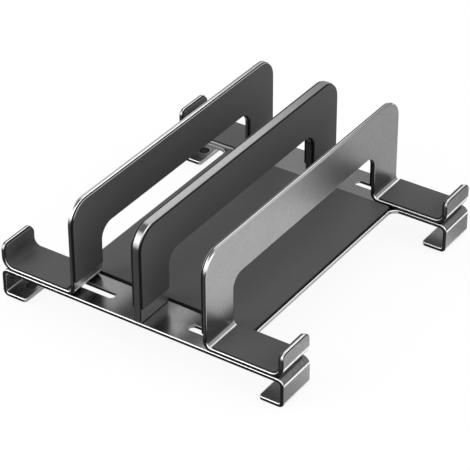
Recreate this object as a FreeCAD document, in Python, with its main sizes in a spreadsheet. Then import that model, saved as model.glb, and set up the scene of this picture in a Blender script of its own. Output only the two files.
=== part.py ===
import FreeCAD, Part
import math
import os
import re
import Sketcher
from FreeCAD import Placement, Rotation, Vector

# Vertical laptop stand.
# A folded base sheet carries a fixed divider in the middle and a bracket on each side. Each bracket is one
# folded sheet: an arched fence, two shelves on the crossbars and a hook at the end of each shelf. Clamp screws
# under the crossbars run in slots, so that each bracket slides towards the divider and grips a laptop.
#
# X runs along the crossbars, Y from front to back and Z up. The origin lies on the table, under the middle of
# the stand. The right bracket and its pieces are drawn where they stand, and the left ones are turned by half
# a turn about Z. All lengths are in millimetres.

SIZES = {
    # Overall
    "stand_width": 200.0,
    "stand_depth": 212.0,
    "sheet_gauge": 2.5,
    # Base sheet
    "crossbar_rise": 19.4,
    "crossbar_width": 27.8,
    "plate_width": 124.0,
    "notch_corner": 5.5,
    "foot_reach": 17.0,
    "foot_upper_bend": 2.3,
    "foot_lower_bend": 1.3,
    "foot_corner": 2.5,
    "foot_hole": 5.6,
    "foot_hole_inset": 10.6,
    # Brackets
    "fence_spread": 96.0,
    "fence_rise": 62.8,
    "fence_bend": 3.0,
    "fence_corner": 14.5,
    "window_rise": 34.4,
    "window_corner": 9.0,
    "hook_setback": 0.5,
    "hook_rise": 17.4,
    "hook_bend": 6.0,
    "hook_corner": 4.5,
    # Clamp screws and slots
    "slide_travel": 28.9,
    "clamp_offset": 10.2,
    "clamp_thread": 5.0,
    "clamp_flange": 11.0,
    "clamp_flange_gauge": 1.0,
    "clamp_head": 8.5,
    "clamp_head_rise": 2.75,
    "clamp_key": 3.0,
    "clamp_key_depth": 1.6,
    "clamp_tip_gap": 0.3,
    "slot_clearance": 0.3,
    "thread_clearance": 0.1,
    # Divider and its screws
    "divider_gauge": 5.0,
    "divider_edge_break": 0.5,
    "divider_screw_thread": 3.0,
    "divider_screw_head": 6.0,
    "divider_screw_grip": 7.5,
    "divider_screw_key": 2.0,
    "divider_screw_key_depth": 1.2,
    "divider_screw_clearance": 0.2,
    "divider_tap_spare": 1.5,
    # Pads
    "pad_gauge": 1.3,
    "pad_margin": 0.6,
    "pad_lift": 10.0,
    "shelf_pad_start": 0.4,
    "base_pad_gauge": 1.5,
    "base_pad_margin": 1.5,
    "base_pad_gap": 1.0,
    "base_pad_corner": 2.0,
    # Rubber feet
    "rubber_gauge": 1.5,
    "rubber_width": 8.4,
    "stud_clearance": 0.1,
    "stud_recess": 0.15,
}

# Measures that follow from the sizes
FOLLOWING = {
    "half_width": "stand_width / 2",
    "half_depth": "stand_depth / 2",
    "foot_floor": "rubber_gauge",
    "bar_top": "rubber_gauge + crossbar_rise",
    "bar_underside": "bar_top - sheet_gauge",
    "bar_inner_edge": "half_depth - crossbar_width",
    "bar_middle": "half_depth - crossbar_width / 2",
    "half_plate": "plate_width / 2",
    "foot_tip": "half_width - foot_reach",
    "foot_inside": "half_width - sheet_gauge",
    "foot_hole_place": "half_width - foot_hole_inset",
    "fence_outside": "fence_spread / 2",
    "fence_inside": "fence_outside - sheet_gauge",
    "fence_top": "bar_top + fence_rise",
    "window_top": "bar_top + window_rise",
    "shelf_top": "bar_top + sheet_gauge",
    "hook_outside": "half_width - hook_setback",
    "hook_inside": "hook_outside - sheet_gauge",
    "hook_top": "bar_top + hook_rise",
    "clamp_place": "fence_outside + clamp_offset",
    "slot_width": "clamp_thread + 2 * slot_clearance",
    "slot_inner_centre": "clamp_place - slide_travel",
    "clamp_head_face": "bar_underside - clamp_head_rise",
    "clamp_flange_face": "bar_underside - clamp_flange_gauge",
    "clamp_tip": "shelf_top - clamp_tip_gap",
    "half_divider": "divider_gauge / 2",
    "divider_screw_cone": "(divider_screw_head - divider_screw_thread) / 2",
    "divider_screw_length": "sheet_gauge + divider_screw_grip",
    "divider_screw_hole": "divider_screw_thread + 2 * divider_screw_clearance",
    "shelf_pad_inner": "fence_outside + fence_bend + shelf_pad_start",
    "base_pad_half_width": "half_plate - base_pad_margin",
    "base_pad_half_depth": "bar_inner_edge - base_pad_gap",
    "stud_width": "foot_hole - 2 * stud_clearance",
    "stud_top": "foot_floor + sheet_gauge - stud_recess",
}

SIDES = {"left": "0 - ", "right": ""}
ENDS = {"front": "0 - ", "rear": ""}
UP = Vector(0, 0, 1)
OUTWARD = {"left": Vector(-1, 0, 0), "right": Vector(1, 0, 0)}
DRILLED_SIDE = "left"
ROOT_THREE = math.sqrt(3)
NEAR = 0.001
TANGENT_ANGLE = math.radians(5)

document = FreeCAD.newDocument("laptop_stand")
sheet = document.addObject("Spreadsheet::Sheet", "Sizes")
for row, (alias, number) in enumerate(SIZES.items(), 1):
    sheet.set(f"A{row}", alias)
    sheet.set(f"B{row}", str(number))
    sheet.setAlias(f"B{row}", alias)
document.recompute()


def formula(measure):
    """The expression of a measure, led back to the cells of the sheet."""

    def cell(match):
        word = match.group(0)
        if word in FOLLOWING:
            return f"({formula(FOLLOWING[word])})"
        if word in SIZES:
            return f"Sizes.{word}"
        raise ValueError(f"unknown size: {word}")

    return re.sub(r"[a-z_]+", cell, measure)


def value(measure):
    """The number that a measure has now."""
    return float(sheet.evalExpression(formula(measure)))


def new_body(label):
    """An empty body, named after the piece."""
    body = document.addObject("PartDesign::Body", label)
    body.Label = label
    return body


def origin_part(body, role):
    """A plane or an axis of the body's own origin."""
    return next(item for item in body.Origin.OriginFeatures if item.Role == role)


def new_sketch(body, role, name, lift=None):
    """An empty sketch on an origin plane, raised by a measure along the plane's normal."""
    sketch = body.newObject("Sketcher::SketchObject", name)
    sketch.AttachmentSupport = [(origin_part(body, role), "")]
    sketch.MapMode = "FlatFace"
    if lift:
        sketch.setExpression("AttachmentOffset.Base.z", formula(lift))
    return sketch


def pin_point(sketch, geometry, point, across, up):
    """Ties a point of the sketch to two measures from the sketch's origin."""
    for kind, measure in (("DistanceX", across), ("DistanceY", up)):
        limit = Sketcher.Constraint(kind, -1, 1, geometry, point, value(measure))
        index = sketch.addConstraint(limit)
        sketch.setExpression(f"Constraints[{index}]", formula(measure))


def polygon_sketch(body, role, name, corners, lift=None):
    """A closed outline of straight lines through corners that are given as pairs of measures."""
    sketch = new_sketch(body, role, name, lift)
    points = [Vector(value(across), value(up), 0) for across, up in corners]
    for start, end in zip(points, points[1:] + points[:1]):
        sketch.addGeometry(Part.LineSegment(start, end), False)
    for index in range(len(points)):
        follower = (index + 1) % len(points)
        sketch.addConstraint(Sketcher.Constraint("Coincident", index, 2, follower, 1))
    for index, (across, up) in enumerate(corners):
        pin_point(sketch, index, 1, across, up)
    return sketch


def circle_sketch(body, role, name, width, centres, lift=None):
    """Circles of one width round centres that are given as pairs of measures."""
    sketch = new_sketch(body, role, name, lift)
    for index, (across, up) in enumerate(centres):
        centre = Vector(value(across), value(up), 0)
        sketch.addGeometry(Part.Circle(centre, UP, value(width) / 2), False)
        limit = sketch.addConstraint(Sketcher.Constraint("Diameter", index, value(width)))
        sketch.setExpression(f"Constraints[{limit}]", formula(width))
        pin_point(sketch, index, 3, across, up)
    return sketch


def slot_sketch(body, role, name, width, slots):
    """Slots along the sketch's first axis, each from one end centre to the other at one height."""
    sketch = new_sketch(body, role, name)
    radius = value(width) / 2
    for number, (start, end, up) in enumerate(slots):
        first = 4 * number
        low, high = sorted((value(start), value(end)))
        left, right = sorted((start, end), key=value)
        middle = value(up)
        left_circle = Part.Circle(Vector(low, middle, 0), UP, radius)
        right_circle = Part.Circle(Vector(high, middle, 0), UP, radius)
        sketch.addGeometry(Part.ArcOfCircle(left_circle, math.pi / 2, 1.5 * math.pi), False)
        sketch.addGeometry(Part.ArcOfCircle(right_circle, -math.pi / 2, math.pi / 2), False)
        lower = (Vector(low, middle - radius, 0), Vector(high, middle - radius, 0))
        upper = (Vector(high, middle + radius, 0), Vector(low, middle + radius, 0))
        sketch.addGeometry(Part.LineSegment(*lower), False)
        sketch.addGeometry(Part.LineSegment(*upper), False)
        for arc, arc_point, line, line_point in ((0, 2, 2, 1), (1, 1, 2, 2), (1, 2, 3, 1), (0, 1, 3, 2)):
            joint = ("Tangent", first + arc, arc_point, first + line, line_point)
            sketch.addConstraint(Sketcher.Constraint(*joint))
        pin_point(sketch, first, 3, left, up)
        pin_point(sketch, first + 1, 3, right, up)
        limit = sketch.addConstraint(Sketcher.Constraint("Diameter", first, value(width)))
        sketch.setExpression(f"Constraints[{limit}]", formula(width))
    return sketch


def pad(body, sketch, name, length, symmetric=False, backward=False):
    """Material over a sketch."""
    feature = body.newObject("PartDesign::Pad", name)
    feature.Profile = sketch
    feature.SideType = "Symmetric" if symmetric else "One side"
    feature.Reversed = backward
    feature.setExpression("Length", formula(length))
    document.recompute()
    return feature


def pocket(body, sketch, name, depth=None, backward=False):
    """A cut below a sketch: right through both ways, or to a depth. It has to take material away."""
    before = body.Shape.Volume
    feature = body.newObject("PartDesign::Pocket", name)
    feature.Profile = sketch
    if depth:
        feature.Type = "Length"
        feature.Reversed = backward
        feature.setExpression("Length", formula(depth))
    else:
        feature.Type = "ThroughAll"
        feature.SideType = "Symmetric"
    document.recompute()
    if not body.Shape.Volume < before - NEAR:
        raise RuntimeError(f"{name} of {body.Label} cuts nothing")
    return feature


def lines_along(axis, **places):
    """Picks straight edges along an axis whose other two coordinates have the given sizes, on either side."""
    direction = {"x": Vector(1, 0, 0), "y": Vector(0, 1, 0), "z": Vector(0, 0, 1)}[axis]
    wanted = {name: [value(each) for each in measures] for name, measures in places.items()}

    def fits(edge):
        if not isinstance(edge.Curve, Part.Line):
            return False
        if edge.Curve.Direction.cross(direction).Length > NEAR:
            return False
        middle = edge.CenterOfMass
        for name, numbers in wanted.items():
            place = abs(getattr(middle, name))
            if not any(abs(place - number) < NEAR for number in numbers):
                return False
        return True

    return lambda shape: [index for index, edge in enumerate(shape.Edges, 1) if fits(edge)]


def sharp_edges(shape):
    """The edges where two faces meet at an angle."""
    found = []
    for index, edge in enumerate(shape.Edges, 1):
        faces = shape.ancestorsOfType(edge, Part.Face)
        if len(faces) != 2:
            continue
        middle = edge.valueAt((edge.FirstParameter + edge.LastParameter) / 2)
        normals = [face.normalAt(*face.Surface.parameter(middle)) for face in faces]
        if normals[0].getAngle(normals[1]) > TANGENT_ANGLE:
            found.append(index)
    return found


def round_edges(body, name, radius, choose):
    """Rounds the chosen edges of the body to a radius."""
    base = body.Tip
    edges = [f"Edge{index}" for index in choose(base.Shape)]
    if not edges:
        raise RuntimeError(f"{name} of {body.Label} finds no edge")
    feature = body.newObject("PartDesign::Fillet", name)
    feature.Base = (base, edges)
    feature.setExpression("Radius", formula(radius))
    document.recompute()
    return feature


def break_edges(body, size):
    """Takes the sharp edges off a piece with a narrow slope."""
    base = body.Tip
    feature = body.newObject("PartDesign::Chamfer", "edge_breaks")
    feature.Base = (base, [f"Edge{index}" for index in sharp_edges(base.Shape)])
    feature.setExpression("Size", formula(size))
    document.recompute()
    return feature


def revolve(body, name, corners):
    """A turned piece: an outline of radius and height pairs, spun round the upright axis."""
    sketch = polygon_sketch(body, "XZ_Plane", f"{name}_outline", corners)
    feature = body.newObject("PartDesign::Revolution", name)
    feature.Profile = sketch
    feature.ReferenceAxis = (sketch, ["V_Axis"])
    feature.Angle = 360
    document.recompute()
    return feature


def hexagon(width):
    """The corners of a hexagonal recess, from its width across the flats."""
    tip = f"{width} / {ROOT_THREE}"
    shoulder = f"{tip} / 2"
    flat = f"{width} / 2"
    return [
        (tip, "0"),
        (shoulder, flat),
        (f"0 - {shoulder}", flat),
        (f"0 - {tip}", "0"),
        (f"0 - {shoulder}", f"0 - {flat}"),
        (shoulder, f"0 - {flat}"),
    ]


def rectangle(left, right, low, high):
    """The corners of an upright rectangle."""
    return [(left, low), (right, low), (right, high), (left, high)]


def base_plate():
    """The base: one sheet in the shape of an H, with each arm's end folded into a foot that opens inward."""
    body = new_body("base_plate")
    right_half = [
        ("foot_tip", "foot_floor"),
        ("foot_tip", "foot_floor + sheet_gauge"),
        ("foot_inside", "foot_floor + sheet_gauge"),
        ("foot_inside", "bar_underside"),
    ]
    right_skin = [
        ("half_width", "bar_top"),
        ("half_width", "foot_floor"),
    ]
    left_half = [(f"0 - {across}", up) for across, up in reversed(right_half)]
    left_skin = [(f"0 - {across}", up) for across, up in reversed(right_skin)]
    section = polygon_sketch(
        body, "XZ_Plane", "section", right_half + left_half + left_skin + right_skin
    )
    pad(body, section, "sheet", "stand_depth", symmetric=True)
    round_edges(
        body, "upper_bend_outside", "foot_upper_bend + sheet_gauge",
        lines_along("y", x=["half_width"], z=["bar_top"]),
    )
    round_edges(
        body, "upper_bend_inside", "foot_upper_bend",
        lines_along("y", x=["foot_inside"], z=["bar_underside"]),
    )
    round_edges(
        body, "lower_bend_outside", "foot_lower_bend + sheet_gauge",
        lines_along("y", x=["half_width"], z=["foot_floor"]),
    )
    round_edges(
        body, "lower_bend_inside", "foot_lower_bend",
        lines_along("y", x=["foot_inside"], z=["foot_floor + sheet_gauge"]),
    )
    for side, sign in SIDES.items():
        corners = rectangle(
            f"{sign}half_plate", f"{sign}stand_width", "0 - bar_inner_edge", "bar_inner_edge"
        )
        notch = polygon_sketch(body, "XY_Plane", f"{side}_notch_outline", corners)
        pocket(body, notch, f"{side}_notch")
    round_edges(
        body, "notch_corners", "notch_corner",
        lines_along("z", x=["half_plate"], y=["bar_inner_edge"]),
    )
    round_edges(
        body, "foot_corners", "foot_corner",
        lines_along("z", x=["foot_tip"], y=["bar_inner_edge", "half_depth"]),
    )
    slots = []
    for side in SIDES.values():
        for end in ENDS.values():
            slots.append((f"{side}slot_inner_centre", f"{side}clamp_place", f"{end}bar_middle"))
    pocket(body, slot_sketch(body, "XY_Plane", "slot_outlines", "slot_width", slots), "slots")
    foot_holes = [
        (f"{SIDES[DRILLED_SIDE]}foot_hole_place", f"{end}bar_middle") for end in ENDS.values()
    ]
    pocket(
        body, circle_sketch(body, "XY_Plane", "foot_hole_outlines", "foot_hole", foot_holes),
        "foot_holes", "foot_floor + 2 * sheet_gauge", backward=True,
    )
    countersink_divider_holes(body)
    return body


def countersink_divider_holes(body):
    """A hole through each crossbar under the divider, countersunk from below."""
    centres = [("0", f"{end}bar_middle") for end in ENDS.values()]
    sketch = circle_sketch(
        body, "XY_Plane", "divider_hole_outlines", "divider_screw_hole", centres, lift="bar_underside"
    )
    before = body.Shape.Volume
    document.recompute()
    hole = body.newObject("PartDesign::Hole", "divider_holes")
    hole.Profile = sketch
    hole.Reversed = True
    hole.DepthType = "ThroughAll"
    hole.HoleCutType = "Countersink"
    hole.setExpression("Diameter", formula("divider_screw_hole"))
    hole.setExpression("HoleCutDiameter", formula("divider_screw_head + 2 * divider_screw_clearance"))
    hole.HoleCutCountersinkAngle = 90
    document.recompute()
    if not body.Shape.Volume < before - NEAR:
        raise RuntimeError("the holes of the divider cut nothing")


def arch_corners(inset, toe):
    """The outline of an arch that stands on two legs, drawn in by an inset from a fence's own edges."""
    return [
        (f"0 - (half_depth - {inset})", toe),
        (f"0 - (bar_inner_edge + {inset})", toe),
        (f"0 - (bar_inner_edge + {inset})", f"window_top + {inset}"),
        (f"bar_inner_edge + {inset}", f"window_top + {inset}"),
        (f"bar_inner_edge + {inset}", toe),
        (f"half_depth - {inset}", toe),
        (f"half_depth - {inset}", f"fence_top - {inset}"),
        (f"0 - (half_depth - {inset})", f"fence_top - {inset}"),
    ]


def bracket(side):
    """A side bracket: one folded sheet with an arched fence, two shelves and a hook on each shelf."""
    body = new_body(f"{side}_bracket")
    section = polygon_sketch(body, "XZ_Plane", "section", [
        ("fence_inside", "bar_top"),
        ("hook_outside", "bar_top"),
        ("hook_outside", "hook_top"),
        ("hook_inside", "hook_top"),
        ("hook_inside", "shelf_top"),
        ("fence_outside", "shelf_top"),
        ("fence_outside", "fence_top"),
        ("fence_inside", "fence_top"),
    ])
    pad(body, section, "sheet", "stand_depth", symmetric=True)
    round_edges(
        body, "fence_bend_outside", "fence_bend + sheet_gauge",
        lines_along("y", x=["fence_inside"], z=["bar_top"]),
    )
    round_edges(
        body, "fence_bend_inside", "fence_bend",
        lines_along("y", x=["fence_outside"], z=["shelf_top"]),
    )
    round_edges(
        body, "hook_bend_outside", "hook_bend + sheet_gauge",
        lines_along("y", x=["hook_outside"], z=["bar_top"]),
    )
    round_edges(
        body, "hook_bend_inside", "hook_bend",
        lines_along("y", x=["hook_inside"], z=["shelf_top"]),
    )
    window = polygon_sketch(
        body, "YZ_Plane", "window_outline",
        rectangle("0 - bar_inner_edge", "bar_inner_edge", "0", "window_top"),
    )
    pocket(body, window, "window")
    round_edges(
        body, "window_corners", "window_corner",
        lines_along("x", y=["bar_inner_edge"], z=["window_top"]),
    )
    round_edges(
        body, "fence_corners", "fence_corner",
        lines_along("x", y=["half_depth"], z=["fence_top"]),
    )
    round_edges(
        body, "hook_corners", "hook_corner",
        lines_along("x", y=["bar_inner_edge", "half_depth"], z=["hook_top"]),
    )
    tapped = circle_sketch(
        body, "XY_Plane", "clamp_hole_outlines", "clamp_thread + 2 * thread_clearance",
        [("clamp_place", f"{end}bar_middle") for end in ENDS.values()],
    )
    pocket(body, tapped, "clamp_holes")
    place(body, side)
    return body


def place(body, side="right", end="rear", across="0", along="0"):
    """Sets a piece on its side and end of the stand, with its own X axis pointing outward."""
    outward = OUTWARD[side]
    body.Placement = Placement(Vector(0, 0, 0), Rotation(outward, UP.cross(outward), UP, "ZXY"))
    body.setExpression("Placement.Base.x", formula(f"{SIDES[side]}{across}"))
    body.setExpression("Placement.Base.y", formula(f"{ENDS[end]}{along}"))
    document.recompute()


def fence_pad(side):
    """The pad on the inner face of a fence: an arch that ends above the fold."""
    body = new_body(f"{side}_fence_pad")
    outline = polygon_sketch(
        body, "YZ_Plane", "outline", arch_corners("pad_margin", "bar_top + pad_lift"),
        lift="fence_inside - pad_gauge",
    )
    pad(body, outline, "skin", "pad_gauge")
    round_arch(body, "pad_margin")
    place(body, side)
    return body


def round_arch(body, inset):
    """Rounds the corners of an arch so that they run beside those of the fence."""
    round_edges(
        body, "window_corners", f"window_corner + {inset}",
        lines_along("x", y=[f"bar_inner_edge + {inset}"], z=[f"window_top + {inset}"]),
    )
    round_edges(
        body, "top_corners", f"fence_corner - {inset}",
        lines_along("x", y=[f"half_depth - {inset}"], z=[f"fence_top - {inset}"]),
    )


def shelf_pad(side, end):
    """The pad that lines a shelf and runs up the inside of its hook."""
    body = new_body(f"{side}_{end}_shelf_pad")
    section = polygon_sketch(body, "XZ_Plane", "section", [
        ("shelf_pad_inner", "shelf_top"),
        ("hook_inside", "shelf_top"),
        ("hook_inside", "hook_top - pad_margin"),
        ("hook_inside - pad_gauge", "hook_top - pad_margin"),
        ("hook_inside - pad_gauge", "shelf_top + pad_gauge"),
        ("shelf_pad_inner", "shelf_top + pad_gauge"),
    ])
    pad(body, section, "skin", "crossbar_width - 2 * pad_margin", symmetric=True)
    round_edges(
        body, "bend_outside", "hook_bend",
        lines_along("y", x=["hook_inside"], z=["shelf_top"]),
    )
    round_edges(
        body, "bend_inside", "hook_bend - pad_gauge",
        lines_along("y", x=["hook_inside - pad_gauge"], z=["shelf_top + pad_gauge"]),
    )
    round_edges(
        body, "top_corners", "hook_corner - pad_margin",
        lines_along("x", y=["crossbar_width / 2 - pad_margin"], z=["hook_top - pad_margin"]),
    )
    place(body, side, end, along="bar_middle")
    return body


def divider():
    """The middle divider: a thick arched plate that stands on both crossbars, tapped from below."""
    body = new_body("divider")
    outline = polygon_sketch(body, "YZ_Plane", "outline", arch_corners("0", "bar_top"))
    pad(body, outline, "plate", "divider_gauge", symmetric=True)
    round_arch(body, "0")
    break_edges(body, "divider_edge_break")
    centres = [("0", f"{end}bar_middle") for end in ENDS.values()]
    sketch = circle_sketch(
        body, "XY_Plane", "tapped_hole_outlines",
        "divider_screw_thread + 2 * thread_clearance", centres, lift="bar_top",
    )
    pocket(body, sketch, "tapped_holes", "divider_screw_grip + divider_tap_spare", backward=True)
    return body


def divider_pad(side):
    """The pad on one face of the divider, like the pad on the fence that faces it."""
    body = new_body(f"{side}_divider_pad")
    outline = polygon_sketch(
        body, "YZ_Plane", "outline", arch_corners("pad_margin", "bar_top + pad_lift"), lift="half_divider"
    )
    pad(body, outline, "skin", "pad_gauge")
    round_arch(body, "pad_margin")
    place(body, side)
    return body


def base_pad():
    """The pad on the middle of the base, between the crossbars."""
    body = new_body("base_pad")
    outline = polygon_sketch(
        body, "XY_Plane", "outline",
        rectangle(
            "0 - base_pad_half_width", "base_pad_half_width", "0 - base_pad_half_depth", "base_pad_half_depth"
        ),
        lift="bar_top",
    )
    pad(body, outline, "skin", "base_pad_gauge")
    round_edges(
        body, "corners", "base_pad_corner",
        lines_along("z", x=["base_pad_half_width"], y=["base_pad_half_depth"]),
    )
    return body


def rubber_foot(side, end):
    """A rubber disc under a foot. Where the foot has a hole, a stud on the disc fills it."""
    body = new_body(f"{side}_{end}_rubber_foot")
    disc = [("0", "0"), ("rubber_width / 2", "0"), ("rubber_width / 2", "foot_floor")]
    if side == DRILLED_SIDE:
        disc += [("stud_width / 2", "foot_floor"), ("stud_width / 2", "stud_top"), ("0", "stud_top")]
    else:
        disc += [("0", "foot_floor")]
    revolve(body, "disc", disc)
    place(body, side, end, "foot_hole_place", "bar_middle")
    return body


def clamp_screw(side, end):
    """A flanged screw that clamps a bracket to its crossbar from below, through the slot."""
    body = new_body(f"{side}_{end}_clamp_screw")
    revolve(body, "blank", [
        ("0", "clamp_head_face"),
        ("clamp_head / 2", "clamp_head_face"),
        ("clamp_head / 2", "clamp_flange_face"),
        ("clamp_flange / 2", "clamp_flange_face"),
        ("clamp_flange / 2", "bar_underside"),
        ("clamp_thread / 2", "bar_underside"),
        ("clamp_thread / 2", "clamp_tip"),
        ("0", "clamp_tip"),
    ])
    key = polygon_sketch(body, "XY_Plane", "key_outline", hexagon("clamp_key"), lift="clamp_head_face")
    pocket(body, key, "key", "clamp_key_depth", backward=True)
    place(body, side, end, "clamp_place", "bar_middle")
    return body


def divider_screw(end):
    """A countersunk screw that holds a leg of the divider from below."""
    body = new_body(f"{end}_divider_screw")
    revolve(body, "blank", [
        ("0", "bar_underside"),
        ("divider_screw_head / 2", "bar_underside"),
        ("divider_screw_thread / 2", "bar_underside + divider_screw_cone"),
        ("divider_screw_thread / 2", "bar_underside + divider_screw_length"),
        ("0", "bar_underside + divider_screw_length"),
    ])
    key = polygon_sketch(
        body, "XY_Plane", "key_outline", hexagon("divider_screw_key"), lift="bar_underside"
    )
    pocket(body, key, "key", "divider_screw_key_depth", backward=True)
    place(body, end=end, along="bar_middle")
    return body


def build_pieces():
    """Every piece of the stand, each a body of its own."""
    pieces = [base_plate(), base_pad(), divider()]
    for end in ENDS:
        pieces.append(divider_screw(end))
    for side in SIDES:
        pieces.append(bracket(side))
        pieces.append(fence_pad(side))
        pieces.append(divider_pad(side))
        for end in ENDS:
            pieces.append(shelf_pad(side, end))
            pieces.append(clamp_screw(side, end))
            pieces.append(rubber_foot(side, end))
    return pieces


def check_document(pieces):
    """Stops if an object of the document failed or a piece isn't one valid solid."""
    for item in document.Objects:
        if "Invalid" in item.State or "Error" in item.State:
            raise RuntimeError(f"{item.Name} failed: {item.State}")
    for piece in pieces:
        if piece.Shape.isNull() or not piece.Shape.isValid() or len(piece.Shape.Solids) != 1:
            raise RuntimeError(f"{piece.Label} isn't one valid solid")


pieces = build_pieces()
document.recompute()
check_document(pieces)
os.makedirs("parts", exist_ok=True)
for piece in pieces:
    piece.Shape.exportStep(f"parts/{piece.Label}.step")
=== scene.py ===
import math

import bpy
from mathutils import Matrix, Vector


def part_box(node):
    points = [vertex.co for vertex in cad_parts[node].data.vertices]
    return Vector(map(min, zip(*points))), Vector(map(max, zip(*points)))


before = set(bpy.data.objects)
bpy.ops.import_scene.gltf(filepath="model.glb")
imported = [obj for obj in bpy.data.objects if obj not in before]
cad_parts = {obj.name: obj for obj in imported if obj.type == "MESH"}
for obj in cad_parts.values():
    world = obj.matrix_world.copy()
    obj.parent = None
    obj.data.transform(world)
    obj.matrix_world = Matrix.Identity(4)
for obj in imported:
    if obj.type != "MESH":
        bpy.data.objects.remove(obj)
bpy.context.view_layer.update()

# Looks of the vertical laptop stand: anodised sheet with painted highlights on its broken edges and painted
# light and shade on its faces, rubber pads, plain steel screws and rubber feet, on a pale floor. Lengths
# are in metres.

MM = 0.001

# Camera
CAMERA_TARGET = Vector((-46.33, 63.80, -31.32)) * MM
CAMERA_DISTANCE = 1451.1 * MM
CAMERA_BACK = Vector((0.46181, -0.68678, 0.56131))
CAMERA_RIGHT = Vector((0.83114, 0.55606, -0.00345))
FRAME_PIXELS = 470
FOCAL_PIXELS = 2229.8
SENSOR_WIDTH = 36.0

# Mesh clean-up and edges
WELD_DISTANCE = 0.002 * MM
FLAT_ANGLE = math.radians(0.5)
SHARP_ANGLE = math.radians(50)
BEVELLED_ANGLE = math.radians(30)
EDGE_SEGMENTS = 3
SHEET_EDGE = 0.6 * MM
DIVIDER_EDGE = 0.1 * MM
PAD_EDGE = 0.2 * MM
UPRIGHT_PAD_EDGE = 0.45 * MM
SCREW_EDGE = 0.25 * MM
RUBBER_EDGE = 0.4 * MM

# Sizes of the folded sheets
GAUGE = 2.5 * MM
BEND_RADIUS = 3 * MM
FOOT_REACH = 17 * MM

# Places in the part
PAD_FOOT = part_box("right_divider_pad")[0][2]
FENCE_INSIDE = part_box("right_fence_pad")[1][0]
FENCE_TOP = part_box("divider")[1][2]
HOOK_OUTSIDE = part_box("right_bracket")[1][0]
HOOK_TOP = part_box("right_front_shelf_pad")[1][2]
SLOT_LINE = -(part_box("front_divider_screw")[0][1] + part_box("front_divider_screw")[1][1]) / 2
BEND_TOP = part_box("right_front_shelf_pad")[0][2] + BEND_RADIUS
DIVIDER_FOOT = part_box("divider")[0][2]
BAR_UNDERSIDE = DIVIDER_FOOT - GAUGE
FOOT_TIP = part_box("base_plate")[1][0] - FOOT_REACH
SHELF_STARTS = (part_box("right_front_shelf_pad")[0][1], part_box("right_rear_shelf_pad")[0][1])

# Zones of height. Each zone, here and below, fades in from its first number to its second.
ABOVE_PAD_FOOT = (PAD_FOOT - 0.5 * MM, PAD_FOOT + 0.5 * MM)
BELOW_PAD_FOOT = (PAD_FOOT + MM, PAD_FOOT)
LOW_CUTS_START = (PAD_FOOT / 2 - 2 * MM, PAD_FOOT / 2)
LOW_CUTS_END = (PAD_FOOT, PAD_FOOT - 2 * MM)
TALL_CUTS = (PAD_FOOT - 3 * MM, PAD_FOOT - MM)
BEND_HEIGHT = (PAD_FOOT - 4 * MM, PAD_FOOT - 5 * MM)
CORNER_HEIGHT = (FENCE_TOP - 12 * MM, FENCE_TOP - 11 * MM)
RIDGE_HEIGHT = (FENCE_TOP - 2 * MM, FENCE_TOP - MM)
FENCE_FOOT_HEIGHT = (BEND_TOP + 19 * MM, BEND_TOP + 13.5 * MM)
LEG_FOOT_HEIGHT = (BEND_TOP + 14 * MM, BEND_TOP + 4 * MM)
CREST_HEIGHT = (HOOK_TOP - 4 * MM, HOOK_TOP - MM)
TIP_HEIGHT = (HOOK_TOP - 2 * MM, HOOK_TOP - MM)
ABOVE_DIVIDER_FOOT = (DIVIDER_FOOT + 0.6 * MM, DIVIDER_FOOT + MM)
UNDER_BAR = (BAR_UNDERSIDE - 0.1 * MM, BAR_UNDERSIDE - 0.3 * MM)

# Zones of width, measured from the middle towards both sides
CORNER_WIDTH = (FENCE_INSIDE + 1.4 * MM, FENCE_INSIDE + 1.1 * MM)
RIDGE_WIDTH = (FENCE_INSIDE + 0.9 * MM, FENCE_INSIDE + 0.6 * MM)
BEND_START = (FENCE_INSIDE + 2.2 * MM, FENCE_INSIDE + 2.6 * MM)
BEND_END = (FENCE_INSIDE + 7 * MM, FENCE_INSIDE + 6.5 * MM)
NEAR_FENCE = (FENCE_INSIDE + 6 * MM, FENCE_INSIDE + 5 * MM)
SLOTS_END = (66 * MM, 65 * MM)
FOOT_HOLE_START = (FOOT_TIP + 1.5 * MM, FOOT_TIP + 2.5 * MM)
FOOT_HOLE_END = (FOOT_TIP + 12 * MM, FOOT_TIP + 11 * MM)
OUTER_ENDS = (0.8 * HOOK_OUTSIDE, 0.9 * HOOK_OUTSIDE)
HOOK_LINING = (HOOK_OUTSIDE - 15 * MM, HOOK_OUTSIDE - 14 * MM)
HOOK_WIDTH = (HOOK_OUTSIDE - 9 * MM, HOOK_OUTSIDE - 8 * MM)

# Zones of width, measured from the left to the right
LEFT_SIDE = (-0.5 * FENCE_INSIDE, -FENCE_INSIDE)
FENCE_TO_FENCE = (-FENCE_INSIDE, FENCE_INSIDE)
HOOK_TO_HOOK = (-HOOK_OUTSIDE, HOOK_OUTSIDE)
LEFT_TIP_OUTSIDE = (1.4 * MM - HOOK_OUTSIDE, 1.2 * MM - HOOK_OUTSIDE)
BAY_START = (4 * MM, 14 * MM)
BAY_END = (50 * MM, 46 * MM)
FRONT_LIGHT_START = (14 * MM, 30 * MM)

# Zones of depth, measured from the front to the rear
PAST_MIDDLE = (-MM, MM)
REAR_HALF = (0.0, 95 * MM)
FRONT_HALF = (0.0, -10 * MM)
FRONT_BAR = (4 * MM - SLOT_LINE, -8 * MM - SLOT_LINE)
REAR_FOOT = (SLOT_LINE - 16 * MM, SLOT_LINE + 10 * MM)

# Zone of depth, measured from the line of the slots and holes to both sides
BY_SLOT_LINE = (5 * MM, 4.5 * MM)

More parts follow.
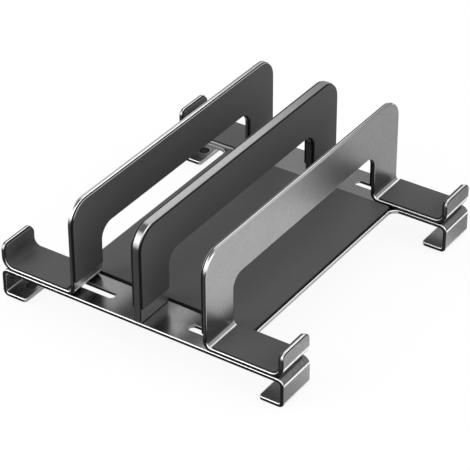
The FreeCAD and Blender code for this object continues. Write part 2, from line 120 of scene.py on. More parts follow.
# Zones of a face's look away from the middle, as its direction times its place
FENCE_INNER_FACE = (-0.75 * FENCE_INSIDE, -0.9 * FENCE_INSIDE)
FENCE_OUTER_FACE = (0.3 * FENCE_INSIDE, 0.6 * FENCE_INSIDE)
FENCE_OUTER_EDGE = (0.0, 0.3 * FENCE_INSIDE)
STAND_OUTER_FACE = (0.85 * HOOK_OUTSIDE, 0.93 * HOOK_OUTSIDE)
FOOT_WALL_FACE = (-0.3 * HOOK_OUTSIDE, -0.5 * HOOK_OUTSIDE)
INWARD_CUTS = (-20 * MM, -40 * MM)
RIM_LOOK = (0.0, 0.5 * MM)

# Zones of a face's direction, whose part along an axis is 1 where the face looks along that axis
UPRIGHT = (0.45, 0.25)
OFF_TOP = (0.5, 0.3)
LOOKS_UP = (0.25, 0.45)
LOOKS_MORE_UP = (0.3, 0.5)
LEVEL_TOP = (0.7, 0.9)
LOOKS_DOWN = (-0.2, -0.5)
BROAD_FACE = (0.7, 0.85)
CUT_FACE = (0.93, 0.99)
DIVIDER_SIDE = (0.6, 0.8)
SQUARE_SIDE = (0.8, 0.95)
BEVEL_START = (0.3, 0.5)
BEVEL_END = (0.95, 0.85)
NOT_TO_FRONT = (0.7, 0.5)
CORNER_LOOK = (-0.1, -0.2)
CORNER_TURN_START = (0.985, 0.95)
CORNER_TURN_END = (0.78, 0.84)
LOOKS_ACROSS = (0.3, 0.1)
OFF_LEVEL = (0.75, 0.6)
BESIDE_CUT = (0.68, 0.8)
BESIDE_UPRIGHT_CUT = (0.45, 0.6)
CREST_LOOK = (0.2, 0.4)
LEG_EDGE_LOOK = (0.15, 0.05)
BEND_LOOK = (0.05, 0.15)
BEND_TOP_LOOK = (0.85, 0.93)
FOOT_FLOOR_LOOK = (0.5, 0.8)
GLINT_START = (0.04, 0.12)
GLINT_END = (0.38, 0.28)
GLINT_LOOK = (0.3, 0.15)

# How much a zone shifts with the tilt of a face, and with the way into a fence's leg
CUT_LEAN = -0.8
FENCE_FOOT_SLOPE = 0.6

# Tones of the sheets, as linear values. All of them but METAL and EDGE_GRAZING are painted shade, painted
# light or painted highlights.
METAL = 0.40
# The top tones are painted shade: faces that look up are painted darker than the metal's own tone.
BASE_TOP = 0.15
TALL_TOP = 0.29
# The cut faces' tones are painted shade, standing for the dark reflection on faces that look to the front
# or rear.
BASE_CUT_SHADE = 0.02
BRACKET_CUT_SHADE = 0.06
DIVIDER_CUT_SHADE = 0.065
# Painted light on the left side's low cut faces and edges that look towards the middle.
INWARD_CUT = 0.20
INWARD_EDGE = 0.30
# Edge tones are painted: the bright one is a painted highlight, the plain one a dimmer painted highlight
# and the dark one painted shade.
EDGE_HIGHLIGHT = 0.95
EDGE_PLAIN = 0.45
EDGE_DARK = 0.02
EDGE_GRAZING = 0.2
HOLE_RIM = 0.30
# Painted shade: a dark reflection band where a front corner leaves the top.
CORNER_DARK = 0.10
# Painted light on the upright faces below the upright pads.
LOW_SIDE = 0.75
# Painted shade, nearly black, on the margins round the upright pads.
MARGIN = 0.03
# A painted highlight where the outer bends glint.
GLINT = 0.90
# Painted light on the wall and painted shade on the floor inside a folded foot.
FOOT_WALL = 0.50
FOOT_FLOOR = 0.15
# Painted shade and a painted highlight inside the bend from a fence to its shelf.
CREASE_START = 0.12
CREASE_MIDDLE = 0.25
CREASE_END = 0.95

# Painted highlight and shade tones that change from the left side of the stand to the right
RIDGES = (0.5, 0.85)
RIDGE_OUTSIDES = (0.10, 0.38)
HOOK_TIPS = (0.85, 0.65)

# Factors of painted light or painted shade that lighten or darken a part of the sheets
BAY_LIGHT = 1.22
FRONT_LIGHT = 2.5
OUTER_SIDE = 0.76
REAR_END = 0.65
REAR_TOP = 0.6
FENCE_FOOT = 0.62

# Tones of the rest
PAD = 0.070
# The pads' sides carry painted shade, and the rims painted highlights.
PAD_SIDE = 0.005
LYING_PAD_SIDE = 0.02
FENCE_PAD_RIM = 0.45
DIVIDER_PAD_RIM = 0.15
FOOT_RUBBER = 0.02
STEEL = (0.3825, 0.45)
FLOOR = 0.95

# Roughness and shine
BASE_ROUGHNESS = 0.24
TALL_ROUGHNESS = 0.32
ROUGHNESS_SPREAD = 0.04
CUT_ROUGHNESS = 0.5
EDGE_ROUGHNESS = (0.45, 0.6)
STEEL_ROUGHNESS = (0.25, 0.4)
PAD_ROUGHNESS = 0.6
FOOT_ROUGHNESS = 0.7
RUBBER_SPREAD = 0.08
GLINT_METALLIC = 0.2
SPECULAR = 0.35
SIDE_SPECULAR = 0.12

# Sheets, each with its top's painted shade tone, its cut faces' painted shade tones below and above the
# shelves, and its roughness
SHEETS = {
    "base_plate": (BASE_TOP, (BASE_CUT_SHADE, BASE_CUT_SHADE), BASE_ROUGHNESS),
    "bracket": (TALL_TOP, (BASE_CUT_SHADE, BRACKET_CUT_SHADE), TALL_ROUGHNESS),
    "divider": (TALL_TOP, (DIVIDER_CUT_SHADE, DIVIDER_CUT_SHADE), TALL_ROUGHNESS),
}

# Noise, as its scale per metre and its detail
METAL_MOTTLE = (60.0, 3.0)
METAL_GRAIN = (2500.0, 2.0)
METAL_SPECKLE = (700.0, 2.0)
RUBBER_MOTTLE = (90.0, 3.0)
PAD_GRAIN = (1800.0, 4.0)
FOOT_GRAIN = (1200.0, 4.0)
STEEL_MARKS = (1500.0, 3.0)
STEEL_STRETCH = (1.0, 1.0, 4.0)
MEAN_NOISE = 0.5

# Strengths of the mottling, the speckles and the relief. The speckles are stronger at the stand's ends.
METAL_MOTTLING = (0.94, 1.06)
RUBBER_MOTTLING = (0.93, 1.07)
SPECKLES = (0.4, 0.8)
METAL_RELIEF = {"distance": 0.02 * MM, "strength": 0.15}
RUBBER_RELIEF = {"distance": 0.04 * MM, "strength": 0.3}
STEEL_RELIEF = {"distance": 0.02 * MM, "strength": 0.2}

# Light. Each lamp has its place, its size and its watts.
LAMPS = {
    "front_left": (Vector((-0.60, -0.98, 0.58)), 0.9, 8.0),
    "rear_left": (Vector((-0.277, 0.270, 0.421)), 0.3, 0.25),
    "right": (Vector((1.3, 0.1, 0.9)), 1.0, 8.0),
}
WHITE = (1.0, 1.0, 1.0, 1.0)
WORLD_SEEN = 1.0
WORLD_DIFFUSE = 0.75
FLOOR_SIZE = 6.0
FLOOR_GLOW = 0.90
FLOOR_SEEN = 1.0
# In metal the floor is painted: a pool of white light at the right, and pale grey shade around it.
FLOOR_IN_METAL = 0.60
POOL_IN_METAL = 1.0
POOL_PLACE = Vector((95, 10, 0)) * MM
POOL_SHAPE = Vector((1.0, 0.75, 1.0))
POOL_RIM = (78 * MM, 55 * MM)


def new_material(name):
    """An empty material. Its node tree and its Principled shader come with it."""
    material = bpy.data.materials.new(name)
    material.use_nodes = True
    tree = material.node_tree
    shader = next(node for node in tree.nodes if node.type == "BSDF_PRINCIPLED")
    return material, tree, shader


def add_node(tree, kind, values=None, **settings):
    """A node with its settings and its unlinked inputs."""
    node = tree.nodes.new(kind)
    for name, setting in settings.items():
        setattr(node, name, setting)
    for key, number in (values or {}).items():
        node.inputs[key].default_value = number
    return node


def feed(tree, socket, source):
    """Gives an input a number, or links it to a socket."""
    if isinstance(source, (int, float)):
        socket.default_value = source
    else:
        tree.links.new(source, socket)


def math_node(tree, operation, *sources):
    """A math node fed by sockets or numbers. Its output socket is returned."""
    node = add_node(tree, "ShaderNodeMath", operation=operation)
    for socket, source in zip(node.inputs, sources):
        feed(tree, socket, source)
    return node.outputs[0]


def mix_grey(tree, factor, low, high):
    """A number between two sockets or numbers: low where the factor is 0, high where it is 1."""
    node = add_node(tree, "ShaderNodeMix", data_type="FLOAT")
    tree.links.new(factor, node.inputs["Factor"])
    feed(tree, node.inputs["A"], low)
    feed(tree, node.inputs["B"], high)
    return node.outputs["Result"]


def ramp(tree, source, zone):
    """A smooth step of a socket, from 0 at the zone's first number to 1 at its second."""
    node = add_node(
        tree, "ShaderNodeMapRange", {"From Min": zone[0], "From Max": zone[1]},
        interpolation_type="SMOOTHSTEP",
    )
    tree.links.new(source, node.inputs["Value"])
    return node.outputs["Result"]


def product(tree, *factors):
    """The product of sockets, or of a number and sockets."""
    result = factors[0]
    for factor in factors[1:]:
        result = math_node(tree, "MULTIPLY", result, factor)
    return result


def magnitude(tree, source):
    """The size of a socket's number, without its sign."""
    return math_node(tree, "ABSOLUTE", source)


def object_place(tree):
    """The point's place in the object's own axes, as a vector socket."""
    return add_node(tree, "ShaderNodeTexCoord").outputs["Object"]


def noise(tree, scale, detail, stretch=None):
    """Noise in the object's own metres."""
    source = object_place(tree)
    if stretch:
        mapping = add_node(tree, "ShaderNodeMapping", {"Scale": stretch})
        tree.links.new(source, mapping.inputs["Vector"])
        source = mapping.outputs["Vector"]
    texture = add_node(tree, "ShaderNodeTexNoise", {"Scale": scale, "Detail": detail})
    tree.links.new(source, texture.inputs["Vector"])
    return texture.outputs["Fac"]


def grey_colour(tree, value):
    """A colour with three equal channels."""
    node = add_node(tree, "ShaderNodeCombineColor")
    for channel in ("Red", "Green", "Blue"):
        tree.links.new(value, node.inputs[channel])
    return node.outputs["Color"]


def paint(tree, shader, tone, roughness):
    """Links a shader's grey and its roughness."""
    tree.links.new(grey_colour(tree, tone), shader.inputs["Base Color"])
    tree.links.new(roughness, shader.inputs["Roughness"])


def bump(tree, shader, height, distance, strength):
    """Relief from a height socket."""
    node = add_node(tree, "ShaderNodeBump", {"Distance": distance, "Strength": strength})
    tree.links.new(height, node.inputs["Height"])
    tree.links.new(node.outputs["Normal"], shader.inputs["Normal"])


def split(tree, vector):
    """The three parts of a vector socket."""
    node = add_node(tree, "ShaderNodeSeparateXYZ")
    tree.links.new(vector, node.inputs["Vector"])
    return node.outputs


def face_direction(tree):
    """The face's direction in the object's own axes, as a vector socket."""
    geometry = add_node(tree, "ShaderNodeNewGeometry")
    turn = add_node(
        tree, "ShaderNodeVectorTransform",
        vector_type="NORMAL", convert_from="WORLD", convert_to="OBJECT",
    )
    tree.links.new(geometry.outputs["Normal"], turn.inputs["Vector"])
    return turn.outputs["Vector"]


class Spot:
    """Sockets that tell where a point of the part lies and which way its face looks there.

    across, along and up are the face's direction, and x, y and z the place. off_middle, facing and slope
    are x, along and up without their signs. outward is across times x: it is above nought where the face
    looks away from the middle of the stand, and below nought where it looks towards it.
    """

    def __init__(self, tree):
        self.across, self.along, self.up = split(tree, face_direction(tree))
        self.x, self.y, self.z = split(tree, object_place(tree))
        self.off_middle = magnitude(tree, self.x)
        self.facing = magnitude(tree, self.along)
        self.slope = magnitude(tree, self.up)
        self.outward = math_node(tree, "MULTIPLY", self.across, self.x)


def behind_pads(tree, kind, spot):
    """1 on the thin margins round the upright pads, where painted shade lies, 0 elsewhere."""
    if kind == "divider":
        sideways = ramp(tree, magnitude(tree, spot.across), DIVIDER_SIDE)
    else:
        sideways = ramp(tree, spot.outward, FENCE_INNER_FACE)
    return product(tree, sideways, ramp(tree, spot.z, ABOVE_PAD_FOOT), ramp(tree, spot.slope, OFF_TOP))


def inward_left(tree, spot):
    """1 on the left side's low cut faces and edges that look towards the stand's middle, where painted
    light lies, 0 elsewhere.
    """
    inward = math_node(tree, "MULTIPLY", spot.along, spot.y)
    return product(
        tree, ramp(tree, inward, INWARD_CUTS), ramp(tree, spot.z, LOW_CUTS_START),
        ramp(tree, spot.z, LOW_CUTS_END), ramp(tree, spot.x, LEFT_SIDE),
    )


def corner_start(tree, kind, spot):
    """1 where the front corner of a fence or of the divider leaves the top, where a painted dark band of
    reflection lies, 0 elsewhere.
    """
    corner = product(
        tree, ramp(tree, spot.up, CORNER_TURN_START), ramp(tree, spot.up, CORNER_TURN_END),
        ramp(tree, spot.along, CORNER_LOOK), ramp(tree, spot.z, CORNER_HEIGHT),
    )
    if kind == "bracket":
        corner = product(tree, corner, ramp(tree, spot.off_middle, CORNER_WIDTH))
    return corner


def low_side(tree, kind, spot):
    """1 on the upright faces below the upright pads, where painted light lies, 0 elsewhere."""
    if kind == "divider":
        towards = magnitude(tree, spot.across)
    else:
        towards = math_node(tree, "MULTIPLY", spot.outward, -1.0 / FENCE_INSIDE)
    return product(tree, ramp(tree, towards, SQUARE_SIDE), ramp(tree, spot.z, BELOW_PAD_FOOT))


def inner_bend(tree, spot):
    """1 inside the bend from a fence to its shelf and beside the shelf pad there, where painted shade and a
    painted highlight lie, 0 elsewhere.
    """
    return product(
        tree, ramp(tree, spot.z, BEND_HEIGHT), ramp(tree, spot.up, BEND_LOOK),
        ramp(tree, spot.off_middle, BEND_START), ramp(tree, spot.off_middle, BEND_END),
    )


def fence_foot(tree, spot):
    """A painted-shade factor that darkens the outside of a fence's legs above the bend, less high to a
    leg's rear.
    """
    leg_start = mix_grey(tree, ramp(tree, spot.y, PAST_MIDDLE), *SHELF_STARTS)
    into_leg = math_node(tree, "MAXIMUM", math_node(tree, "SUBTRACT", spot.y, leg_start), 0.0)
    height = math_node(tree, "MULTIPLY_ADD", into_leg, FENCE_FOOT_SLOPE, spot.z)
    foot = product(
        tree, ramp(tree, height, FENCE_FOOT_HEIGHT), ramp(tree, spot.outward, FENCE_OUTER_FACE),
        ramp(tree, spot.off_middle, NEAR_FENCE),
    )
    return mix_grey(tree, foot, 1.0, FENCE_FOOT)


def rear_top(tree, spot):
    """A painted-shade factor that darkens the tops of the fences and of the divider towards the rear."""
    rear = product(
        tree, ramp(tree, spot.y, REAR_HALF), ramp(tree, spot.z, RIDGE_HEIGHT),
        ramp(tree, spot.up, LOOKS_MORE_UP),
    )
    return mix_grey(tree, rear, 1.0, REAR_TOP)


def base_edge(tree, spot, upright):
    """Painted highlights on the base's broken edges. They are plainer at the sides, dimmer round the slots
    and painted dark as shade round the foot holes.
    """
    sideways = product(tree, ramp(tree, spot.facing, LOOKS_ACROSS), ramp(tree, spot.up, OFF_LEVEL))
    plain = math_node(tree, "MAXIMUM", sideways, upright)
    tone = mix_grey(tree, plain, EDGE_HIGHLIGHT, EDGE_PLAIN)
    off_line = math_node(tree, "SUBTRACT", magnitude(tree, spot.y), SLOT_LINE)
    in_line = ramp(tree, magnitude(tree, off_line), BY_SLOT_LINE)
    slots = product(tree, in_line, ramp(tree, spot.off_middle, SLOTS_END))
    tone = mix_grey(tree, slots, tone, HOLE_RIM)
    foot_holes = product(
        tree, in_line, ramp(tree, spot.off_middle, FOOT_HOLE_START),
        ramp(tree, spot.off_middle, FOOT_HOLE_END),
    )
    return mix_grey(tree, foot_holes, tone, EDGE_DARK)


def bracket_edge(tree, spot, upright):
    """Painted highlights on a bracket's broken edges. They are plainer up the hooks, painted dark as shade
    on the hooks' crests and at the foot of the legs, and have painted tones of their own outside the
    fences' tops."""
    outer = ramp(tree, spot.off_middle, HOOK_WIDTH)
    crest = product(tree, outer, ramp(tree, spot.z, CREST_HEIGHT), ramp(tree, spot.up, CREST_LOOK))
    tone = mix_grey(tree, crest, EDGE_HIGHLIGHT, EDGE_DARK)
    tone = mix_grey(tree, product(tree, outer, upright), tone, EDGE_PLAIN)
    foot_edge = product(tree, upright, ramp(tree, spot.up, LEG_EDGE_LOOK))
    tone = mix_grey(tree, product(tree, foot_edge, ramp(tree, spot.z, LEG_FOOT_HEIGHT)), tone, BASE_CUT_SHADE)
    ridge = product(tree, ramp(tree, spot.z, RIDGE_HEIGHT), ramp(tree, spot.outward, FENCE_OUTER_EDGE))
    ridge_tone = mix_grey(tree, ramp(tree, spot.x, FENCE_TO_FENCE), *RIDGE_OUTSIDES)
    return mix_grey(tree, ridge, tone, ridge_tone)


def edge_tone(tree, kind, spot):
    """Broken edges get painted highlights, and painted shade beside the cut faces of the front and rear."""
    upright = ramp(tree, spot.slope, UPRIGHT)
    leaning = math_node(tree, "MULTIPLY_ADD", spot.up, CUT_LEAN, spot.facing)
    beside_upright_cut = product(tree, upright, ramp(tree, spot.facing, BESIDE_UPRIGHT_CUT))
    beside_cut = math_node(tree, "MAXIMUM", ramp(tree, leaning, BESIDE_CUT), beside_upright_cut)
    if kind == "base_plate":
        tone = base_edge(tree, spot, upright)
    elif kind == "bracket":
        tone = product(tree, bracket_edge(tree, spot, upright), rear_top(tree, spot))
        tone = mix_grey(tree, corner_start(tree, kind, spot), tone, CORNER_DARK)
    else:
        tone = product(tree, METAL, rear_top(tree, spot))
        beside_cut = math_node(tree, "MAXIMUM", beside_cut, upright)
        beside_cut = product(tree, beside_cut, ramp(tree, spot.z, ABOVE_DIVIDER_FOOT))
    tone = mix_grey(tree, beside_cut, tone, EDGE_DARK)
    return mix_grey(tree, inward_left(tree, spot), tone, INWARD_EDGE)


def bay_light(tree, spot):
    """A painted-light factor that lightens the front half of the base in the right bay, its front crossbar
    most.
    """
    bay = product(
        tree, ramp(tree, spot.x, BAY_START), ramp(tree, spot.x, BAY_END), ramp(tree, spot.y, FRONT_HALF)
    )
    front = product(tree, ramp(tree, spot.y, FRONT_BAR), ramp(tree, spot.x, FRONT_LIGHT_START))
    return mix_grey(tree, bay, 1.0, mix_grey(tree, front, BAY_LIGHT, FRONT_LIGHT))


def outer_side(tree, spot):
    """A painted-shade factor that darkens the stand's outermost faces, and more so at the rear."""
    side = mix_grey(tree, ramp(tree, spot.y, REAR_FOOT), OUTER_SIDE, REAR_END)
    return mix_grey(tree, ramp(tree, spot.outward, STAND_OUTER_FACE), 1.0, side)


def narrow_tops(tree, spot, shade):
    """Gives the narrow tops of the fences and of the hooks their own painted highlight and shade tones."""
    level = ramp(tree, spot.up, LEVEL_TOP)
    ridge = product(tree, ramp(tree, spot.z, RIDGE_HEIGHT), ramp(tree, spot.off_middle, RIDGE_WIDTH))
    ridge_tone = mix_grey(tree, ramp(tree, spot.x, FENCE_TO_FENCE), *RIDGES)
    shade = mix_grey(tree, product(tree, level, ridge), shade, ridge_tone)
    tip = product(tree, ramp(tree, spot.z, TIP_HEIGHT), ramp(tree, spot.off_middle, HOOK_WIDTH))
    tip_tone = mix_grey(tree, ramp(tree, spot.x, HOOK_TO_HOOK), *HOOK_TIPS)
    tip_tone = mix_grey(tree, ramp(tree, spot.x, LEFT_TIP_OUTSIDE), tip_tone, EDGE_DARK)
    return mix_grey(tree, product(tree, level, tip), shade, tip_tone)


def inside_foot(tree, spot, shade):
    """Gives the wall and the floor inside a folded foot painted tones of light and shade."""
    under = ramp(tree, spot.z, UNDER_BAR)
    wall = product(tree, under, ramp(tree, spot.outward, FOOT_WALL_FACE))
    floor = product(tree, under, ramp(tree, spot.up, FOOT_FLOOR_LOOK))
    return mix_grey(tree, floor, mix_grey(tree, wall, shade, FOOT_WALL), FOOT_FLOOR)


def crease_tone(tree, spot):
    """The painted tone inside a bend: painted shade at the fence, lighter halfway and a painted highlight
    at the shelf.
    """
    tone = mix_grey(tree, ramp(tree, spot.up, LOOKS_MORE_UP), CREASE_START, CREASE_MIDDLE)
    return mix_grey(tree, ramp(tree, spot.up, BEND_TOP_LOOK), tone, CREASE_END)


def face_shade(tree, kind, spot, top_tone):
    """The painted light and shade of a sheet's faces, and a socket that is 1 where its outer bends carry a
    painted glint.
    """
    glint = product(
        tree, ramp(tree, spot.slope, GLINT_START), ramp(tree, spot.slope, GLINT_END),
        ramp(tree, spot.facing, GLINT_LOOK),
    )
    if kind == "base_plate":
        top_tone = math_node(tree, "MULTIPLY", bay_light(tree, spot), top_tone)
    shade = mix_grey(tree, ramp(tree, spot.up, LOOKS_UP), METAL, top_tone)
    shade = product(tree, shade, outer_side(tree, spot))
    if kind == "base_plate":
        shade = inside_foot(tree, spot, shade)
    if kind == "bracket":
        shade = product(tree, narrow_tops(tree, spot, shade), fence_foot(tree, spot))
    if kind != "base_plate":
        shade = product(tree, shade, rear_top(tree, spot))
        shade = mix_grey(tree, low_side(tree, kind, spot), shade, LOW_SIDE)
        shade = mix_grey(tree, corner_start(tree, kind, spot), shade, CORNER_DARK)
    if kind == "bracket":
        crease = inner_bend(tree, spot)
        shade = mix_grey(tree, crease, shade, crease_tone(tree, spot))
        glint = product(tree, glint, math_node(tree, "SUBTRACT", 1.0, crease))
    return mix_grey(tree, glint, shade, GLINT), glint


def mottled(tree, spot, shade):
    """A shade with faint clouds and fine speckles."""
    clouds = mix_grey(tree, noise(tree, *METAL_MOTTLE), *METAL_MOTTLING)
    speckle = math_node(tree, "SUBTRACT", noise(tree, *METAL_SPECKLE), MEAN_NOISE)
    strength = mix_grey(tree, ramp(tree, spot.off_middle, OUTER_ENDS), *SPECKLES)
    return product(tree, shade, clouds, math_node(tree, "MULTIPLY_ADD", speckle, strength, 1.0))


def with_margin(tree, kind, spot, tone):
    """A tone with painted shade, nearly black, on the margins round the upright pads."""
    if kind == "base_plate":
        return tone
    return mix_grey(tree, behind_pads(tree, kind, spot), tone, MARGIN)


def sheet_faces(kind, top_tone, cut_tones, roughness):
    """Satin anodised sheet with painted light and shade. Its cut faces to the front and rear carry painted
    shade, standing for a dark reflection. cut_tones are their painted tones below and above the shelves."""
    material, tree, shader = new_material(kind)
    spot = Spot(tree)
    grain = noise(tree, *METAL_GRAIN)
    cut = ramp(tree, spot.facing, CUT_FACE)
    cut_shade = mix_grey(tree, ramp(tree, spot.z, TALL_CUTS), *cut_tones)
    cut_shade = mix_grey(tree, inward_left(tree, spot), cut_shade, INWARD_CUT)
    shade, glint = face_shade(tree, kind, spot, top_tone)
    tone = mix_grey(tree, cut, mottled(tree, spot, shade), cut_shade)
    if kind == "divider":
        sideways = magnitude(tree, spot.across)
        bevelled = product(tree, ramp(tree, sideways, BEVEL_START), ramp(tree, sideways, BEVEL_END))
        tone = mix_grey(tree, bevelled, tone, edge_tone(tree, kind, spot))
    smooth = mix_grey(tree, grain, roughness - ROUGHNESS_SPREAD, roughness + ROUGHNESS_SPREAD)
    paint(tree, shader, with_margin(tree, kind, spot, tone), mix_grey(tree, cut, smooth, CUT_ROUGHNESS))
    # The painted glint is partly matt, so that it stays bright.
    tree.links.new(mix_grey(tree, glint, 1.0, GLINT_METALLIC), shader.inputs["Metallic"])
    bump(tree, shader, grain, **METAL_RELIEF)
    return material


def sheet_edges(kind):
    """The broken edges of a sheet, with painted highlights and painted shade."""
    material, tree, shader = new_material(f"{kind}_edge")
    spot = Spot(tree)
    grain = noise(tree, *METAL_GRAIN)
    tone = with_margin(tree, kind, spot, edge_tone(tree, kind, spot))
    paint(tree, shader, tone, mix_grey(tree, grain, *EDGE_ROUGHNESS))
    shader.inputs["Metallic"].default_value = 1.0
    shader.inputs["Specular Tint"].default_value = (EDGE_GRAZING, EDGE_GRAZING, EDGE_GRAZING, 1.0)
    bump(tree, shader, grain, **METAL_RELIEF)
    return material


def lying_faces(tree, spot):
    """A lying pad's broad faces, with its lining of the hook, and the painted shade tone of its sides."""
    flat = ramp(tree, spot.slope, BROAD_FACE)
    off_front = ramp(tree, spot.facing, NOT_TO_FRONT)
    lining = product(tree, ramp(tree, spot.off_middle, HOOK_LINING), off_front)
    return math_node(tree, "MAXIMUM", flat, lining), LYING_PAD_SIDE


def upright_faces(tree, spot):
    """An upright pad's broad faces, and the painted shade tone of its sides."""
    return ramp(tree, magnitude(tree, spot.across), BROAD_FACE), PAD_SIDE


def rimmed_faces(tree, spot, look, rim):
    """An upright pad's broad faces and the painted shade tone of its sides, whose upper rim gets a painted
    highlight. It does so where it looks away from the stand's middle if look is 1, and towards the middle
    if look is -1."""
    broad, side = upright_faces(tree, spot)
    towards = ramp(tree, math_node(tree, "MULTIPLY", spot.outward, look), RIM_LOOK)
    lit = product(tree, towards, ramp(tree, spot.up, LOOKS_MORE_UP))
    return broad, mix_grey(tree, lit, side, rim)


def rubber(name, tone, grain_noise, roughness, faces=None, **rim):
    """Rubber with a fine matt grain. On a pad, only the faces that look broad or down keep its tone; the
    others take painted shade or a painted rim highlight.
    """
    material, tree, shader = new_material(name)
    grain = noise(tree, *grain_noise)
    mottle = noise(tree, *RUBBER_MOTTLE)
    shade = mix_grey(tree, mottle, tone * RUBBER_MOTTLING[0], tone * RUBBER_MOTTLING[1])
    if faces:
        spot = Spot(tree)
        broad, side = faces(tree, spot, **rim)
        side = mix_grey(tree, ramp(tree, spot.up, LOOKS_DOWN), side, tone)
        shade = mix_grey(tree, broad, side, shade)
        specular = mix_grey(tree, broad, SIDE_SPECULAR, SPECULAR)
        tree.links.new(specular, shader.inputs["Specular IOR Level"])
    else:
        shader.inputs["Specular IOR Level"].default_value = SPECULAR
    matt = mix_grey(tree, grain, roughness - RUBBER_SPREAD, roughness + RUBBER_SPREAD)
    paint(tree, shader, shade, matt)
    bump(tree, shader, grain, **RUBBER_RELIEF)
    return material


def pad_rubber(name, faces, **rim):
    """The rubber of a pad."""
    return rubber(name, PAD, PAD_GRAIN, PAD_ROUGHNESS, faces, **rim)


def screw_steel(name):
    """Turned steel with fine marks."""
    material, tree, shader = new_material(name)
    marks = noise(tree, *STEEL_MARKS, STEEL_STRETCH)
    paint(tree, shader, mix_grey(tree, marks, *STEEL), mix_grey(tree, marks, *STEEL_ROUGHNESS))
    shader.inputs["Metallic"].default_value = 1.0
    bump(tree, shader, marks, **STEEL_RELIEF)
    return material


def dress(node, materials, edge, clamp=True, sharp=SHARP_ANGLE):
    """Gives a CAD node its materials, joins its faces and softens its edges. The softened edges take the
    last material."""
    node.data.materials.clear()
    for material in materials:
        node.data.materials.append(material)
    for polygon in node.data.polygons:
        polygon.use_smooth = True
    weld = node.modifiers.new("weld", "WELD")
    weld.merge_threshold = WELD_DISTANCE
    flatten = node.modifiers.new("flatten", "DECIMATE")
    flatten.decimate_type = "DISSOLVE"
    flatten.angle_limit = FLAT_ANGLE
    soften = node.modifiers.new("soften", "BEVEL")
    soften.limit_method = "ANGLE"
    soften.angle_limit = sharp
    soften.width = edge
    soften.use_clamp_overlap = clamp
    soften.loop_slide = False
    soften.segments = EDGE_SEGMENTS
    soften.material = len(materials) - 1
    node.modifiers.new("normals", "WEIGHTED_NORMAL")


def dress_nodes(nodes):
    """Every CAD node keeps its shape and gets the finish of the first ending that its name has."""
    metal = {kind: [sheet_faces(kind, *look), sheet_edges(kind)] for kind, look in SHEETS.items()}
    lying_pad = pad_rubber("lying_pad", lying_faces)
    upright_pad = pad_rubber("upright_pad", upright_faces)
    divider_rim = pad_rubber("divider_pad_rim", rimmed_faces, look=1, rim=DIVIDER_PAD_RIM)
    fence_rim = pad_rubber("fence_pad_rim", rimmed_faces, look=-1, rim=FENCE_PAD_RIM)
    foot_rubber = rubber("foot_rubber", FOOT_RUBBER, FOOT_GRAIN, FOOT_ROUGHNESS)
    finishes = {
        "base_plate": {"materials": metal["base_plate"], "edge": SHEET_EDGE, "clamp": False},
        "bracket": {"materials": metal["bracket"], "edge": SHEET_EDGE, "clamp": False},
        "divider": {
            "materials": metal["divider"], "edge": DIVIDER_EDGE, "clamp": False, "sharp": BEVELLED_ANGLE,
        },
        "fence_pad": {"materials": [upright_pad, fence_rim], "edge": UPRIGHT_PAD_EDGE},
        "left_divider_pad": {"materials": [upright_pad, divider_rim], "edge": UPRIGHT_PAD_EDGE},
        "right_divider_pad": {"materials": [upright_pad], "edge": UPRIGHT_PAD_EDGE},
        "_pad": {"materials": [lying_pad], "edge": PAD_EDGE},
        "_screw": {"materials": [screw_steel("screw_steel")], "edge": SCREW_EDGE},
        "_foot": {"materials": [foot_rubber], "edge": RUBBER_EDGE},
    }
    for name, node in nodes.items():
        ending = next(ending for ending in finishes if name.endswith(ending))
        dress(node, **finishes[ending])


def seen_directly(tree):
    """1 for rays from the camera, a mirror or a glass, and 0 for the rest."""
    path = add_node(tree, "ShaderNodeLightPath")
    seen = math_node(tree, "MAXIMUM", path.outputs["Is Camera Ray"], path.outputs["Is Glossy Ray"])
    return math_node(tree, "MAXIMUM", seen, path.outputs["Is Transmission Ray"])


def make_world():
    """White to look at, with a weaker even light."""
    world = bpy.data.worlds.new("studio")
    bpy.context.scene.world = world
    world.use_nodes = True
    tree = world.node_tree
    background = next(node for node in tree.nodes if node.type == "BACKGROUND")
    background.inputs["Color"].default_value = WHITE
    strength = mix_grey(tree, seen_directly(tree), WORLD_DIFFUSE, WORLD_SEEN)
    tree.links.new(strength, background.inputs["Strength"])


def floor_strength(tree):
    """White to look at. In metal the floor shows a painted pool of white light at the right and painted
    pale grey shade around it.
    """
    squeezed = add_node(tree, "ShaderNodeVectorMath", {1: POOL_SHAPE}, operation="MULTIPLY")
    tree.links.new(object_place(tree), squeezed.inputs[0])
    distance = add_node(tree, "ShaderNodeVectorMath", {1: POOL_PLACE * POOL_SHAPE}, operation="DISTANCE")
    tree.links.new(squeezed.outputs["Vector"], distance.inputs[0])
    pool = ramp(tree, distance.outputs["Value"], POOL_RIM)
    in_metal = mix_grey(tree, pool, FLOOR_IN_METAL, POOL_IN_METAL)
    path = add_node(tree, "ShaderNodeLightPath")
    return mix_grey(tree, path.outputs["Is Camera Ray"], in_metal, FLOOR_SEEN)


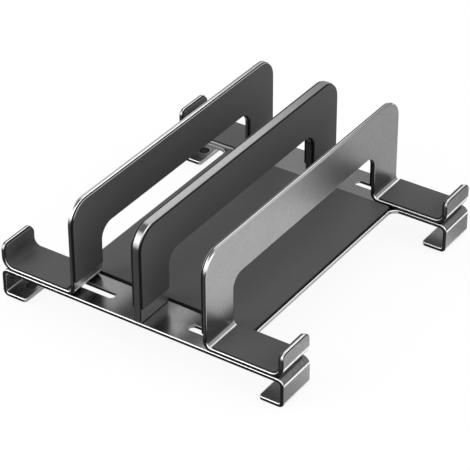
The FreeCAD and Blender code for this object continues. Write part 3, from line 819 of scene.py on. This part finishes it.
def floor_material():
    """Matt white that also glows for the rays that see it directly, but keeps a faint shadow."""
    material, tree, shader = new_material("floor")
    shader.inputs["Base Color"].default_value = (FLOOR, FLOOR, FLOOR, 1.0)
    shader.inputs["Roughness"].default_value = 1.0
    shader.inputs["Specular IOR Level"].default_value = 0.0
    glow = add_node(tree, "ShaderNodeEmission", {"Color": WHITE})
    tree.links.new(floor_strength(tree), glow.inputs["Strength"])
    blend = add_node(tree, "ShaderNodeMixShader")
    tree.links.new(product(tree, seen_directly(tree), FLOOR_GLOW), blend.inputs["Fac"])
    tree.links.new(shader.outputs["BSDF"], blend.inputs[1])
    tree.links.new(glow.outputs["Emission"], blend.inputs[2])
    output = next(node for node in tree.nodes if node.type == "OUTPUT_MATERIAL")
    tree.links.new(blend.outputs["Shader"], output.inputs["Surface"])
    return material


def make_floor():
    """A square white floor."""
    half = FLOOR_SIZE / 2
    corners = [(-half, -half, 0), (half, -half, 0), (half, half, 0), (-half, half, 0)]
    mesh = bpy.data.meshes.new("floor")
    mesh.from_pydata(corners, [], [(0, 1, 2, 3)])
    mesh.materials.append(floor_material())
    floor = bpy.data.objects.new("floor", mesh)
    bpy.context.scene.collection.objects.link(floor)


def softbox(name, place, size, watts):
    """A square area light that looks at the origin."""
    light = bpy.data.lights.new(name, "AREA")
    light.shape = "SQUARE"
    light.size = size
    light.energy = watts
    lamp = bpy.data.objects.new(name, light)
    lamp.location = place
    lamp.rotation_euler = (-place).to_track_quat("-Z", "Y").to_euler()
    lamp.visible_camera = False
    bpy.context.scene.collection.objects.link(lamp)


def make_lights():
    """A large light at the front left, a small one at the rear left and a large one on the right."""
    for name, lamp in LAMPS.items():
        softbox(name, *lamp)


def make_camera():
    """The photograph's camera."""
    data = bpy.data.cameras.new("camera")
    data.sensor_fit = "HORIZONTAL"
    data.sensor_width = SENSOR_WIDTH
    data.lens = FOCAL_PIXELS / FRAME_PIXELS * SENSOR_WIDTH
    camera = bpy.data.objects.new("camera", data)
    bpy.context.scene.collection.objects.link(camera)
    back = CAMERA_BACK.normalized()
    up = back.cross(CAMERA_RIGHT).normalized()
    right = up.cross(back)
    place = CAMERA_TARGET + back * CAMERA_DISTANCE
    turn = Matrix((right, up, back)).transposed().to_4x4()
    camera.matrix_world = Matrix.Translation(place) @ turn
    bpy.context.scene.camera = camera


bpy.context.scene.view_settings.view_transform = "Standard"
make_camera()
dress_nodes(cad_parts)
make_world()
make_floor()
make_lights()
